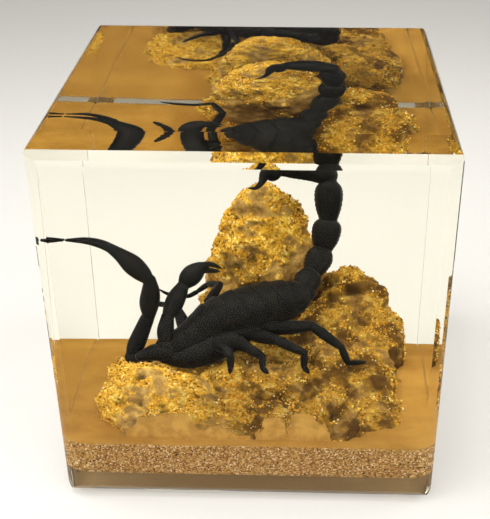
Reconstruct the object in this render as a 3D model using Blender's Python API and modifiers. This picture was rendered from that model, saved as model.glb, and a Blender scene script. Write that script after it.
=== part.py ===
"""A black scorpion sealed in a clear resin block, posed on a gold sanded rock that stands on sand.

The block stands on the ground with the middle of its bottom at the origin. X runs along its width, the
front face looks along -Y, and Z is up. Lengths are written in millimetres and made metres by MM.
"""
import math

import bpy
import bmesh
from mathutils import Matrix, Vector, noise

MM = 0.001

# Block
BLOCK_WIDTH = 60.0
BLOCK_DEPTH = 58.0
BLOCK_HEIGHT = 61.5
EDGE_ROUND = 1.6
EDGE_STEPS = 2
PARTING_HEIGHT = 11.0
GAP = 0.3
RESIN_IOR = 1.58
# How far a cutter reaches where it must pass right through
FAR = 60.0

# Bed of sand in the lower half of the block
SAND_BOTTOM = 4.6
SAND_TOP = PARTING_HEIGHT
SAND_SIDE_MARGIN = 0.6
SAND_FRONT_MARGIN = 0.6
SAND_BACK_MARGIN = 3.0
SAND_CORNER_ROUND = 3.0
SAND_CORNER_STEPS = 3

# Rock, which stands on the sand
ROCK_BOTTOM = SAND_TOP + GAP
ROCK_ROUGHNESS = 0.45
ROCK_ROUGH_SIZE = 2.6
ROCK_VOXEL = 0.7
ROCK_FACES = 2300
ROCK_FRONT_FOOT = -25.5
ROCK_FRONT_LEAN = 14.0

# Scorpion
SCORPION_VOXEL = 0.36
SCORPION_FACES = 3900
TUBE_RESOLUTION = 2

# Room left round the scorpion and the rock
ROCK_CLEARANCE = 0.45
POCKET_CLEARANCE = 0.75
POCKET_VOXEL = 0.6
POCKET_FACES = 2300


def clear_scene():
    """Removes every object of the scene, with its mesh or curve."""
    for old in list(bpy.data.objects):
        bpy.data.objects.remove(old, do_unlink=True)
    for store in (bpy.data.meshes, bpy.data.curves):
        for old in list(store):
            store.remove(old)


clear_scene()
parts = bpy.data.collections.new("scorpion_in_resin_block")
cutters = bpy.data.collections.new("cutters")
for group in (parts, cutters):
    bpy.context.scene.collection.children.link(group)


# ---------------------------------------------------------------- helpers

def material(name, colour, roughness, transmission=0.0, ior=1.5):
    """A Principled material of one colour."""
    made = bpy.data.materials.new(name)
    made.use_nodes = True
    shader = made.node_tree.nodes["Principled BSDF"]
    shader.inputs["Base Color"].default_value = (*colour, 1.0)
    shader.inputs["Roughness"].default_value = roughness
    shader.inputs["Metallic"].default_value = 0.0
    shader.inputs["Transmission Weight"].default_value = transmission
    shader.inputs["IOR"].default_value = ior
    return made


def place(made, group):
    """Moves an object into one of the two collections. A cutter is drawn as wire and isn't rendered."""
    for old in list(made.users_collection):
        old.objects.unlink(made)
    group.objects.link(made)
    made.hide_render = group is cutters
    made.display_type = "WIRE" if group is cutters else "TEXTURED"
    return made


def box(name, low, high, group):
    """A box between two corners given in millimetres."""
    bpy.ops.mesh.primitive_cube_add(size=1.0)
    made = bpy.context.object
    made.name = name
    middle = (Vector(low) + Vector(high)) * 0.5 * MM
    size = (Vector(high) - Vector(low)) * MM
    made.data.transform(Matrix.Translation(middle) @ Matrix.Diagonal((*size, 1.0)))
    return place(made, group)


def lump(centre, radii, grow=0.0, steps=3):
    """An ellipsoid of stone or shell: centre and radii in millimetres."""
    bpy.ops.mesh.primitive_ico_sphere_add(subdivisions=steps, radius=1.0)
    made = bpy.context.object
    size = [(r + grow) * MM for r in radii]
    made.data.transform(Matrix.Translation(Vector(centre) * MM) @ Matrix.Diagonal((*size, 1.0)))
    return place(made, cutters)


def limb(points, radii, grow=0.0):
    """A tube through points, with its own radius at each, and a round end at both ends."""
    curve = bpy.data.curves.new("limb", "CURVE")
    curve.dimensions = "3D"
    curve.bevel_depth = MM
    curve.bevel_resolution = TUBE_RESOLUTION
    curve.use_fill_caps = True
    line = curve.splines.new("POLY")
    line.points.add(len(points) - 1)
    for knot, at, radius in zip(line.points, points, radii):
        knot.co = (*(Vector(at) * MM), 1.0)
        knot.radius = radius + grow
    rod = bpy.data.objects.new("limb", curve)
    cutters.objects.link(rod)
    bpy.context.view_layer.update()
    mesh = bpy.data.meshes.new_from_object(rod.evaluated_get(bpy.context.evaluated_depsgraph_get()))
    weld(mesh)
    bpy.data.objects.remove(rod, do_unlink=True)
    made = bpy.data.objects.new("limb", mesh)
    cutters.objects.link(made)
    ends = ((points[0], radii[0]), (points[-1], radii[-1]))
    return [made, *(lump(at, (r, r, r), grow, steps=2) for at, r in ends)]


def weld(mesh, distance=0.00001):
    """Merges the loose points that a curve's caps leave."""
    edit = bmesh.new()
    edit.from_mesh(mesh)
    bmesh.ops.remove_doubles(edit, verts=edit.verts, dist=distance)
    edit.to_mesh(mesh)
    edit.free()


def fuse(name, pieces, voxel, group):
    """Joins overlapping shapes in one mesh and remeshes them as one closed skin."""
    edit = bmesh.new()
    for piece in pieces:
        edit.from_mesh(piece.data)
        bpy.data.objects.remove(piece, do_unlink=True)
    mesh = bpy.data.meshes.new(name)
    edit.to_mesh(mesh)
    edit.free()
    made = bpy.data.objects.new(name, mesh)
    group.objects.link(made)
    place(made, group)
    skin = made.modifiers.new("skin", "REMESH")
    skin.mode = "VOXEL"
    skin.voxel_size = voxel * MM
    bake(made)
    return made


def bake(made):
    """Replaces an object's mesh by the mesh that its modifiers make."""
    bpy.context.view_layer.update()
    shape = made.evaluated_get(bpy.context.evaluated_depsgraph_get())
    mesh = bpy.data.meshes.new_from_object(shape)
    made.modifiers.clear()
    made.data = mesh


def thin(made, faces):
    """Collapses edges until about that many triangles are left."""
    made.data.calc_loop_triangles()
    now = len(made.data.loop_triangles)
    fewer = made.modifiers.new("thin", "DECIMATE")
    fewer.ratio = min(1.0, faces / now)
    fewer.use_collapse_triangulate = True
    bake(made)


def cut(made, cutter, operation="DIFFERENCE"):
    """Adds a Boolean modifier."""
    step = made.modifiers.new(operation.lower(), "BOOLEAN")
    step.object = cutter
    step.operation = operation
    step.solver = "EXACT"


def roughen(made, depth, size):
    """Pushes each point along its normal by fractal noise of the given depth and feature size."""
    shape = made.data
    moves = []
    for point in shape.vertices:
        where = point.co / (size * MM)
        height = noise.fractal(where, 1.0, 2.0, 3)
        moves.append(point.normal * height * depth * MM)
    for point, move in zip(shape.vertices, moves):
        point.co = point.co + move


def finish(made, finish_material, smooth=True):
    """Puts a part in the object's collection with its material and shading."""
    made.data.materials.clear()
    made.data.materials.append(finish_material)
    if smooth:
        made.data.shade_smooth()
        made.data.set_sharp_from_angle(angle=math.radians(50.0))
    return place(made, parts)


# ---------------------------------------------------------------- scorpion

# Trunk from the front of the carapace to the tail: place of the middle and radius
TRUNK = (
    ((-14.3, -2.4, 19.5), 2.0),
    ((-13.1, -1.8, 19.5), 2.7),
    ((-11.3, -0.8, 19.7), 3.1),
    ((-9.6, 0.0, 20.7), 3.25),
    ((-7.7, 1.0, 22.2), 3.5),
    ((-5.7, 2.0, 23.1), 3.9),
    ((-2.9, 3.4, 23.7), 4.2),
    ((0.0, 4.8, 24.2), 4.25),
    ((2.6, 6.1, 24.6), 4.1),
    ((5.0, 7.2, 25.0), 3.7),
    ((7.1, 8.1, 25.5), 3.0),
    ((8.3, 9.0, 25.9), 2.2),
)
# Joints of the tail, from the trunk to the sting's bulb, and the radius of each segment's belly
TAIL_JOINTS = (
    (8.1, 8.8, 26.1),
    (9.8, 12.2, 28.3),
    (11.7, 15.6, 31.6),
    (12.5, 16.8, 36.9),
    (12.4, 18.2, 43.2),
)
TAIL_BELLY = (2.2, 2.3, 2.45, 2.35)
TAIL_NECK = 1.6
LAST_SEGMENT = (
    ((12.2, 18.7, 44.4), 1.8),
    ((9.5, 19.0, 45.3), 1.9),
    ((6.1, 19.0, 45.5), 1.6),
    ((4.4, 18.8, 45.4), 1.2),
)
BULB = (((4.2, 18.7, 45.4), 1.2), ((3.0, 18.0, 45.2), 1.6), ((1.9, 17.2, 44.8), 1.2))
STING = (
    ((1.7, 16.8, 44.3), 0.8),
    ((1.1, 15.8, 43.6), 0.6),
    ((0.3, 14.8, 43.2), 0.5),
    ((-0.8, 13.8, 43.5), 0.4),
)

# Each pincer arm: thigh, forearm and palm as joints with radii, then its two fingers
FAR_ARM = (
    (((-16.8, -1.9, 17.8), 1.3), ((-18.8, -1.5, 16.8), 1.5), ((-20.5, -0.9, 16.6), 1.4)),
    (((-20.6, -0.9, 17.0), 1.2), ((-19.4, -0.7, 19.8), 1.4), ((-17.5, -0.7, 23.9), 1.3)),
    (((-17.2, -0.7, 24.5), 1.2), ((-16.7, -1.0, 28.1), 1.6), ((-16.4, -1.6, 31.5), 1.2)),
    (
        ((-16.7, -1.8, 32.2), 1.2),
        ((-18.8, -1.3, 34.3), 1.75),
        ((-20.8, -0.5, 35.8), 1.35),
        ((-22.5, 0.2, 36.8), 0.9),
    ),
    (
        ((-22.2, 0.5, 36.8), 0.7),
        ((-24.2, 1.6, 37.5), 0.5),
        ((-26.7, 2.2, 37.8), 0.45),
        ((-28.6, 2.1, 37.8), 0.4),
    ),
    (
        ((-22.2, -0.1, 36.7), 0.7),
        ((-24.2, 0.4, 37.5), 0.5),
        ((-26.5, 0.7, 37.9), 0.45),
        ((-28.6, 1.1, 37.9), 0.4),
    ),
)
NEAR_ARM = (
    (((-13.5, -3.2, 18.9), 1.5), ((-14.4, -3.2, 19.9), 1.4)),
    (((-14.4, -3.2, 20.0), 1.2), ((-14.4, -2.3, 22.4), 1.4), ((-14.0, -1.1, 24.5), 1.2)),
    (((-14.0, -1.1, 24.7), 1.2), ((-12.8, 0.4, 27.1), 1.6), ((-11.3, 1.6, 29.8), 1.2)),
    (
        ((-11.3, 1.6, 29.8), 1.2),
        ((-10.2, 2.5, 31.1), 1.75),
        ((-8.9, 2.9, 32.2), 1.5),
        ((-7.8, 3.0, 32.7), 0.9),
    ),
    (
        ((-8.0, 3.1, 32.9), 0.6),
        ((-6.9, 3.1, 33.1), 0.5),
        ((-5.8, 3.0, 32.9), 0.45),
        ((-5.0, 2.9, 32.5), 0.4),
    ),
    (((-8.1, 2.9, 32.2), 0.6), ((-7.1, 2.8, 32.1), 0.5), ((-5.9, 2.7, 32.1), 0.4)),
)
# The leg bases and breast plate below the head shield
BREAST = (
    (((-18.6, -3.4, 17.9), 1.1), ((-16.6, -3.8, 18.7), 1.6), ((-14.4, -3.0, 18.6), 2.0)),
    (
        ((-14.6, -3.0, 17.8), 1.6),
        ((-11.6, -2.4, 17.6), 2.6),
        ((-8.0, -1.4, 18.4), 3.0),
        ((-4.6, -0.2, 19.8), 2.9),
    ),
    (((-7.6, 0.0, 20.4), 2.6), ((-3.4, 1.8, 20.8), 3.0), ((1.4, 4.0, 22.0), 2.6), ((4.4, 5.6, 23.6), 1.6)),
)
JAWS = (
    (((-14.5, -3.4, 19.1), 1.0), ((-16.4, -4.4, 19.1), 0.9), ((-17.5, -4.9, 18.6), 0.55)),
    (((-14.9, -2.2, 19.0), 1.0), ((-16.8, -3.1, 19.1), 0.9), ((-17.9, -3.7, 18.5), 0.55)),
)

# Legs from the trunk to the claw: hip, knee, shin, ankle, toe
LEG_RADII = (1.25, 0.95, 0.8, 0.6, 0.5)
NEAR_LEGS = (
    ((-6.6, -0.7, 20.0), (-4.1, -6.1, 20.6), (-3.4, -7.6, 19.9), (-3.4, -8.1, 17.8), (-3.5, -8.7, 17.1)),
    ((-3.4, 0.6, 20.0), (-0.5, -3.8, 19.9), (1.9, -6.7, 19.5), (1.9, -7.7, 17.7), (2.7, -8.3, 17.0)),
    ((-0.4, 1.7, 20.5), (4.1, -3.7, 21.6), (8.8, -6.7, 20.4), (8.8, -7.5, 17.9), (9.5, -7.8, 17.0)),
    ((1.5, 2.1, 21.3), (10.0, -4.6, 24.8), (14.9, -5.2, 21.0), (16.1, -5.2, 17.9), (18.9, -4.7, 17.9)),
)
FAR_LEGS = (
    ((-11.1, 2.6, 19.9), (-12.7, 5.9, 22.8), (-13.7, 6.8, 23.5), (-15.4, 8.8, 23.3), (-17.0, 10.3, 22.9)),
    ((-8.7, 3.2, 20.1), (-8.5, 7.1, 19.5), (-8.9, 9.6, 16.9), (-9.7, 10.5, 15.1), (-10.5, 11.4, 14.1)),
    ((-6.3, 3.9, 22.5), (-7.5, 5.5, 25.3), (-5.9, 12.2, 26.0), (-8.2, 17.2, 24.3), (-10.5, 18.2, 22.2)),
    ((0.2, 7.2, 21.6), (3.2, 10.7, 21.6), (4.0, 12.3, 18.3), (4.2, 12.5, 16.5), (3.2, 13.0, 15.4)),
)
RAISED_FOOT = (
    ((-10.5, 18.2, 22.2), 0.55),
    ((-12.2, 18.8, 21.2), 0.5),
    ((-15.4, 19.0, 21.5), 0.45),
    ((-17.4, 18.6, 22.8), 0.4),
)


def jointed(chain, grow):
    """A limb from a chain of (place, radius)."""
    return limb([at for at, _ in chain], [r for _, r in chain], grow)


def tail_segment(start, end, belly, grow):
    """One barrel of the tail: narrow at both joints and full between them."""
    first, last = Vector(start), Vector(end)
    steps = (0.0, 0.2, 0.5, 0.8, 1.0)
    fullness = (0.0, 0.75, 1.0, 0.8, 0.0)
    points = [first.lerp(last, t) for t in steps]
    radii = [TAIL_NECK + (belly - TAIL_NECK) * f for f in fullness]
    return limb(points, radii, grow)


def scorpion_pieces(grow=0.0):
    """Every limb and lump of the scorpion, made thicker all round by grow."""
    made = jointed(TRUNK, grow)
    for start, end, belly in zip(TAIL_JOINTS, TAIL_JOINTS[1:], TAIL_BELLY):
        made += tail_segment(start, end, belly, grow)
    for chain in (LAST_SEGMENT, BULB, STING, RAISED_FOOT, *FAR_ARM, *NEAR_ARM, *BREAST, *JAWS):
        made += jointed(chain, grow)
    for joints in (*NEAR_LEGS, *FAR_LEGS):
        made += limb(joints, LEG_RADII, grow)
    return made


# ---------------------------------------------------------------- rock

# Lumps of stone: centre and radii
PEAK = (
    ((1.6, 22.2, 30.4), (8.2, 5.0, 11.2)),
    ((-1.6, 23.4, 23.6), (7.4, 4.0, 10.5)),
    ((5.3, 21.9, 25.7), (6.4, 5.6, 9.5)),
    ((1.0, 22.2, 15.5), (12.0, 5.4, 10.0)),
)
RIGHT_MOUND = (
    ((17.0, 20.7, 17.6), (6.6, 6.2, 8.4)),
    ((20.6, 15.1, 12.7), (6.0, 9.0, 7.6)),
    ((14.1, 14.0, 14.3), (7.0, 8.0, 7.0)),
    ((15.2, 2.3, 10.1), (10.5, 13.0, 8.2)),
)
LEDGE = (
    ((-4.2, -5.0, 11.8), (5.0, 4.6, 4.5)),
    ((2.2, -4.6, 12.0), (5.0, 4.8, 4.5)),
    ((8.7, -4.2, 12.2), (5.2, 5.2, 4.5)),
    ((-4.0, 4.9, 9.0), (13.0, 11.0, 6.8)),
    ((-12.6, 7.0, 8.9), (9.5, 10.0, 5.4)),
    ((6.1, 10.1, 8.8), (12.0, 10.0, 7.0)),
)
LEFT_MOUND = (
    ((-17.0, -14.4, 13.1), (7.6, 9.2, 7.6)),
    ((-12.1, -16.1, 12.4), (7.6, 8.0, 7.0)),
    ((-20.2, -11.4, 12.2), (5.0, 8.4, 6.8)),
    ((-7.6, -18.8, 10.9), (5.5, 6.0, 4.6)),
    ((-19.2, 3.9, 8.5), (7.0, 14.0, 3.8)),
)
FRONT_RIDGE = (
    ((-1.0, -22.1, 10.3), (20.0, 3.6, 2.6)),
    ((2.0, -13.9, 8.8), (20.0, 9.0, 3.2)),
    ((-13.0, -21.0, 10.2), (7.6, 6.0, 7.0)),
    ((-6.2, -21.5, 9.6), (6.4, 5.6, 5.2)),
    ((4.0, -21.5, 10.2), (3.8, 5.6, 6.2)),
    ((9.4, -21.5, 10.4), (5.6, 5.6, 6.4)),
    ((13.3, -20.8, 11.9), (4.4, 4.2, 5.8)),
    ((18.2, -11.7, 9.3), (7.6, 10.0, 3.4)),
)


def rock_pieces(grow=0.0):
    """Every lump of the rock, made larger all round by grow."""
    lumps = (*PEAK, *RIGHT_MOUND, *LEDGE, *LEFT_MOUND, *FRONT_RIDGE)
    return [lump(centre, radii, grow) for centre, radii in lumps]


def front_slab():
    """A leaning slab that shaves the rock's front to one flat face."""
    made = box("front_slab", (-FAR, -FAR, -FAR), (FAR, 0.0, FAR), cutters)
    lean = Matrix.Rotation(math.radians(-ROCK_FRONT_LEAN), 4, "X")
    foot = Matrix.Translation(Vector((0.0, ROCK_FRONT_FOOT, ROCK_BOTTOM)) * MM)
    made.data.transform(foot @ lean)
    return made


def make_rock(scorpion_room):
    """The rock: fused lumps, roughened, shaved at the front, cut flat below and clear of the scorpion."""
    made = fuse("rock", rock_pieces(), ROCK_VOXEL, cutters)
    roughen(made, ROCK_ROUGHNESS, ROCK_ROUGH_SIZE)
    thin(made, ROCK_FACES)
    cut(made, front_slab())
    cut(made, box("rock_floor", (-FAR, -FAR, -FAR), (FAR, FAR, ROCK_BOTTOM), cutters))
    cut(made, scorpion_room)
    bake(made)
    return finish(made, material("rock_gold", (0.50, 0.32, 0.09), 0.75))


# ---------------------------------------------------------------- block and sand

def whole_block(name):
    """The clear block before it is parted, with its edges rounded."""
    made = box(
        name,
        (-BLOCK_WIDTH / 2, -BLOCK_DEPTH / 2, 0.0),
        (BLOCK_WIDTH / 2, BLOCK_DEPTH / 2, BLOCK_HEIGHT),
        cutters,
    )
    edges = made.modifiers.new("edges", "BEVEL")
    edges.width = EDGE_ROUND * MM
    edges.segments = EDGE_STEPS
    return made


def sand_shape(name, grow, top):
    """The sand's block with rounded upright corners, made larger all round by grow."""
    side = BLOCK_WIDTH / 2 - SAND_SIDE_MARGIN + grow
    front = -BLOCK_DEPTH / 2 + SAND_FRONT_MARGIN - grow
    back = BLOCK_DEPTH / 2 - SAND_BACK_MARGIN + grow
    made = box(name, (-side, front, SAND_BOTTOM - grow), (side, back, top), cutters)
    corners = made.modifiers.new("corners", "BEVEL")
    corners.width = SAND_CORNER_ROUND * MM
    corners.segments = SAND_CORNER_STEPS
    corners.limit_method = "WEIGHT"
    weights = made.data.attributes.new("bevel_weight_edge", "FLOAT", "EDGE")
    for edge in made.data.edges:
        ends = [made.data.vertices[i].co for i in edge.vertices]
        if abs(ends[0].z - ends[1].z) > MM:
            weights.data[edge.index].value = 1.0
    return made


def make_block(pocket):
    """The two halves of the clear block: the lower holds the sand, the upper the rock and the scorpion."""
    clear = material("clear_resin", (0.98, 0.98, 0.95), 0.02, 1.0, RESIN_IOR)
    lower = whole_block("resin_lower")
    cut(lower, box("below_parting", (-FAR, -FAR, -FAR), (FAR, FAR, PARTING_HEIGHT), cutters), "INTERSECT")
    cut(lower, sand_shape("sand_room", GAP, PARTING_HEIGHT + FAR))
    upper = whole_block("resin_upper")
    above = box("above_parting", (-FAR, -FAR, PARTING_HEIGHT + GAP), (FAR, FAR, 2 * FAR), cutters)
    cut(upper, above, "INTERSECT")
    cut(upper, pocket)
    for half in (lower, upper):
        finish(half, clear, smooth=False)


scorpion_room = fuse("scorpion_room", scorpion_pieces(ROCK_CLEARANCE), SCORPION_VOXEL, cutters)
thin(scorpion_room, SCORPION_FACES)
pocket = fuse(
    "pocket",
    scorpion_pieces(POCKET_CLEARANCE) + rock_pieces(POCKET_CLEARANCE),
    POCKET_VOXEL,
    cutters,
)
thin(pocket, POCKET_FACES)
scorpion = fuse("scorpion", scorpion_pieces(), SCORPION_VOXEL, cutters)
thin(scorpion, SCORPION_FACES)
finish(scorpion, material("scorpion_black", (0.012, 0.011, 0.012), 0.35))
make_rock(scorpion_room)
sand_gold = material("sand_gold", (0.52, 0.36, 0.14), 0.9)
finish(sand_shape("sand_bed", 0.0, SAND_TOP), sand_gold, smooth=False)
make_block(pocket)
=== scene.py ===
"""A black scorpion cast in a clear resin block, posed on a gold sanded rock over a bed of sand.

Lengths are worked out in millimetres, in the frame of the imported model, and made metres by MM when a mesh
is written. The front of the block faces -Y, Z is up, and the block stands on the ground at the origin.
"""
import math

import bmesh
import bpy
import numpy as np
from mathutils import Matrix, Vector


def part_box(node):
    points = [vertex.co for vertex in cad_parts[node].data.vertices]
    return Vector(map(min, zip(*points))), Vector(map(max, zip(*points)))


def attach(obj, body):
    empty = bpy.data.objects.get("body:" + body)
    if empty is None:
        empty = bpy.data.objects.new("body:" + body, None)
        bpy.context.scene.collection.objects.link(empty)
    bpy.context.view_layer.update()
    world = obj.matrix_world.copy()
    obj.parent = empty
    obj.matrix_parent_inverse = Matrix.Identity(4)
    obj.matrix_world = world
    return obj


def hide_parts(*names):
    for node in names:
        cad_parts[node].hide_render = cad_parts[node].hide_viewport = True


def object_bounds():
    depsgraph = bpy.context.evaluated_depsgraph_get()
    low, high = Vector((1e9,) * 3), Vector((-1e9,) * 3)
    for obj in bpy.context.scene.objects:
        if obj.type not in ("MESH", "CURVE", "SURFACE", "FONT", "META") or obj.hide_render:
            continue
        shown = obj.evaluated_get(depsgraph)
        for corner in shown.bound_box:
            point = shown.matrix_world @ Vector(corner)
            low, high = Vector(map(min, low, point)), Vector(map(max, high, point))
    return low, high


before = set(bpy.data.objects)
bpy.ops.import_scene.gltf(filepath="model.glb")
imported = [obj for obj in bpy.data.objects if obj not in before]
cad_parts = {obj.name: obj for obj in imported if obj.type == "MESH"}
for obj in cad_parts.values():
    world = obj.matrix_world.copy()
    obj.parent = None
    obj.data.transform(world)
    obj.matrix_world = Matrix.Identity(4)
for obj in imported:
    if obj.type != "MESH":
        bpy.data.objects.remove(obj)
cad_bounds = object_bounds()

MM = 0.001
ROOT = "root"


def in_mm(corners):
    """Both corners of a box, as arrays in millimetres."""
    return [np.array(corner) / MM for corner in corners]


BLOCK_LOW, BLOCK_HIGH = in_mm(cad_bounds)
SAND_LOW, SAND_HIGH = in_mm(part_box("sand_bed"))
ROCK_LOW, ROCK_HIGH = in_mm(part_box("rock"))


# ---------------------------------------------------------------- camera

# The camera was found from the block's edges in the picture and from both views of the things inside.
# The picture is measured in pixels, and the camera's angles are in degrees
IMAGE_WIDTH, IMAGE_HEIGHT = 490, 519
FOCAL_PIXELS = 976.8
PICTURE_MIDDLE = (280.0, 300.0)
CAMERA_PLACE = (8.567, -147.057, 115.193)
CAMERA_TURN, CAMERA_DOWN, CAMERA_ROLL = 1.657, 32.706, 0.029
SENSOR = 36.0
# Nothing nearer or farther than this is drawn
CLIP_FROM, CLIP_TO = 5.0, 20000.0


def make_camera():
    """The camera at the photograph's viewing angle."""
    data = bpy.data.cameras.new("camera")
    long_side = max(IMAGE_WIDTH, IMAGE_HEIGHT)
    data.sensor_width = SENSOR
    data.lens = FOCAL_PIXELS / long_side * SENSOR
    data.shift_x = (IMAGE_WIDTH / 2 - PICTURE_MIDDLE[0]) / long_side
    data.shift_y = (PICTURE_MIDDLE[1] - IMAGE_HEIGHT / 2) / long_side
    data.clip_start, data.clip_end = CLIP_FROM * MM, CLIP_TO * MM
    camera = bpy.data.objects.new("camera", data)
    bpy.context.scene.collection.objects.link(camera)
    camera.location = np.array(CAMERA_PLACE) * MM
    turn = Matrix.Rotation(math.radians(CAMERA_TURN), 4, "Z")
    tip = Matrix.Rotation(math.radians(90.0 - CAMERA_DOWN), 4, "X")
    roll = Matrix.Rotation(math.radians(CAMERA_ROLL), 4, "Z")
    camera.rotation_euler = (turn @ tip @ roll).to_euler()
    bpy.context.scene.camera = camera


make_camera()


# ---------------------------------------------------------------- shader helpers

class Value:
    """A shader socket that can be used in arithmetic. Each operator adds one Math node."""

    def __init__(self, finish, socket):
        self.finish, self.socket = finish, socket

    def math(self, operation, *others):
        """One Math node, with this value first."""
        inputs = {0: self, **dict(enumerate(others, 1))}
        return self.finish.node("ShaderNodeMath", {"operation": operation}, inputs)

    def __add__(self, other):
        return self.math("ADD", other)

    def __mul__(self, other):
        return self.math("MULTIPLY", other)

    def __rsub__(self, other):
        return self.math("MULTIPLY_ADD", -1.0, other)

    __radd__, __rmul__ = __add__, __mul__

    def ramp(self, low, high):
        """0 at low, 1 at high, smooth between."""
        return self.finish.node(
            "ShaderNodeMapRange",
            {"interpolation_type": "SMOOTHSTEP"},
            {"Value": self, "From Min": low, "From Max": high},
        )


class Finish:
    """A material and the means to add nodes to it."""

    def __init__(self, name):
        self.material = bpy.data.materials.new(name)
        self.material.use_nodes = True
        self.tree = self.material.node_tree
        self.shader = self.tree.nodes["Principled BSDF"]
        self.place = self.node("ShaderNodeTexCoord", outlet="Object")

    def node(self, kind, settings=None, inputs=None, outlet=0):
        """Adds a node, sets its settings, then its sockets, and gives back one of its outputs."""
        made = self.tree.nodes.new(kind)
        for key, value in (settings or {}).items():
            setattr(made, key, value)
        for key, value in (inputs or {}).items():
            self.plug(made.inputs[key], value)
        return Value(self, made.outputs[outlet])

    def plug(self, socket, value):
        """Links a value to a socket, or sets the socket's own number or colour."""
        if isinstance(value, Value):
            self.tree.links.new(value.socket, socket)
        else:
            socket.default_value = value

    def set(self, **sockets):
        """Sets or links the shader's sockets. An underscore stands for a space."""
        for name, value in sockets.items():
            self.plug(self.shader.inputs[name.replace("_", " ")], value)
        return self

    def noise(self, size_mm, detail=3.0, rough=0.55):
        """Cloudy noise whose features are about size_mm across."""
        inputs = {"Vector": self.place, "Scale": 1.0 / (size_mm * MM), "Detail": detail, "Roughness": rough}
        return self.node("ShaderNodeTexNoise", {}, inputs, "Fac")

    def cells(self, size_mm, outlet="Distance"):
        """Cells about size_mm across: the distance to the middle of each, or a colour of its own."""
        inputs = {"Vector": self.place, "Scale": 1.0 / (size_mm * MM)}
        return self.node("ShaderNodeTexVoronoi", {}, inputs, outlet)

    def channel(self, mixed, name):
        """One channel of a colour, as a number."""
        return self.node("ShaderNodeSeparateColor", {}, {0: mixed}, name)

    def mix(self, mask, low, high):
        """Colour low where mask is 0 and high where it is 1."""
        inputs = {0: mask, 6: low, 7: high}
        return self.node("ShaderNodeMix", {"data_type": "RGBA"}, inputs, 2)

    def attribute(self, name):
        """A number that the mesh carries."""
        return self.node("ShaderNodeAttribute", {"attribute_name": name}, {}, "Fac")

    def bump(self, height, strength, depth_mm):
        """A normal from a height."""
        inputs = {"Height": height, "Strength": strength, "Distance": depth_mm * MM}
        return self.node("ShaderNodeBump", {}, inputs)


def colour(red, green, blue):
    """A colour given as it looks on a screen, 0 to 255, made linear."""
    parts = np.array([red, green, blue]) / 255.0
    return (*np.where(parts < 0.04, parts / 12.92, ((parts + 0.055) / 1.055) ** 2.4), 1.0)


# ---------------------------------------------------------------- mesh helpers

def write_mesh(name, points, faces, material, smooth=True):
    """A mesh object at the origin from points in millimetres and rows of three or four point numbers."""
    faces = [np.asarray(rows) for rows in faces if len(rows)]
    corners = np.concatenate([rows.ravel() for rows in faces])
    sizes = np.concatenate([np.full(len(rows), rows.shape[1]) for rows in faces])
    mesh = bpy.data.meshes.new(name)
    mesh.vertices.add(len(points))
    mesh.vertices.foreach_set("co", (np.asarray(points, float) * MM).astype(np.float32).ravel())
    mesh.loops.add(len(corners))
    mesh.loops.foreach_set("vertex_index", corners.astype(np.int32))
    mesh.polygons.add(len(sizes))
    mesh.polygons.foreach_set("loop_start", np.concatenate([[0], np.cumsum(sizes)[:-1]]).astype(np.int32))
    mesh.update(calc_edges=True)
    mesh.validate()
    if smooth:
        mesh.shade_smooth()
    mesh.materials.append(material)
    made = bpy.data.objects.new(name, mesh)
    bpy.context.scene.collection.objects.link(made)
    return made


def closed_tube(rows):
    """Points and faces of a closed skin over rows of ring points. The end rings shrink to poles."""
    count, around = rows.shape[:2]
    points = np.vstack([rows[0].mean(0), rows[1:-1].reshape(-1, 3), rows[-1].mean(0)])
    ring = np.arange(around)
    after = (ring + 1) % around
    start = 1 + np.arange(count - 3)[:, None] * around
    quads = np.stack([start + ring, start + after, start + around + after, start + around + ring], -1)
    last = len(points) - 1
    first_fan = np.stack([np.zeros_like(ring), 1 + after, 1 + ring], -1)
    last_fan = np.stack([np.full_like(ring, last), last - around + ring, last - around + after], -1)
    faces = [quads.reshape(-1, 4), np.vstack([first_fan, last_fan])]
    if volume(points, faces) < 0:
        faces = [rows_of[:, ::-1] for rows_of in faces]
    return points, faces


def volume(points, faces):
    """Six times the signed volume within the faces: above 0 where they point outwards."""
    total = 0.0
    for rows in faces:
        for k in range(1, rows.shape[1] - 1):
            a, b, c = points[rows[:, 0]], points[rows[:, k]], points[rows[:, k + 1]]
            total += np.einsum("ij,ij->", a, np.cross(b, c))
    return total


def join(skins):
    """Several skins as one list of points and faces."""
    points, faces, count = [], [], 0
    for skin_points, skin_faces in skins:
        points.append(skin_points)
        faces += [rows + count for rows in skin_faces]
        count += len(skin_points)
    return np.vstack(points), faces


def through(knots, count):
    """A smooth curve through knots (rows of any width), as count rows evenly spaced by knot number."""
    knots = np.asarray(knots, float)
    padded = np.vstack([2 * knots[0] - knots[1], knots, 2 * knots[-1] - knots[-2]])
    at = np.linspace(0, len(knots) - 1, count)
    i = np.minimum(at.astype(int), len(knots) - 2)
    t = (at - i)[:, None]
    a, b, c, d = (padded[i + k] for k in range(4))
    return 0.5 * (2 * b + (c - a) * t + (2 * a - 5 * b + 4 * c - d) * t**2 + (3 * b - a - 3 * c + d) * t**3)


def unit(vectors):
    """Vectors made one long."""
    return vectors / np.maximum(np.linalg.norm(vectors, axis=-1, keepdims=True), 1e-12)


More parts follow.
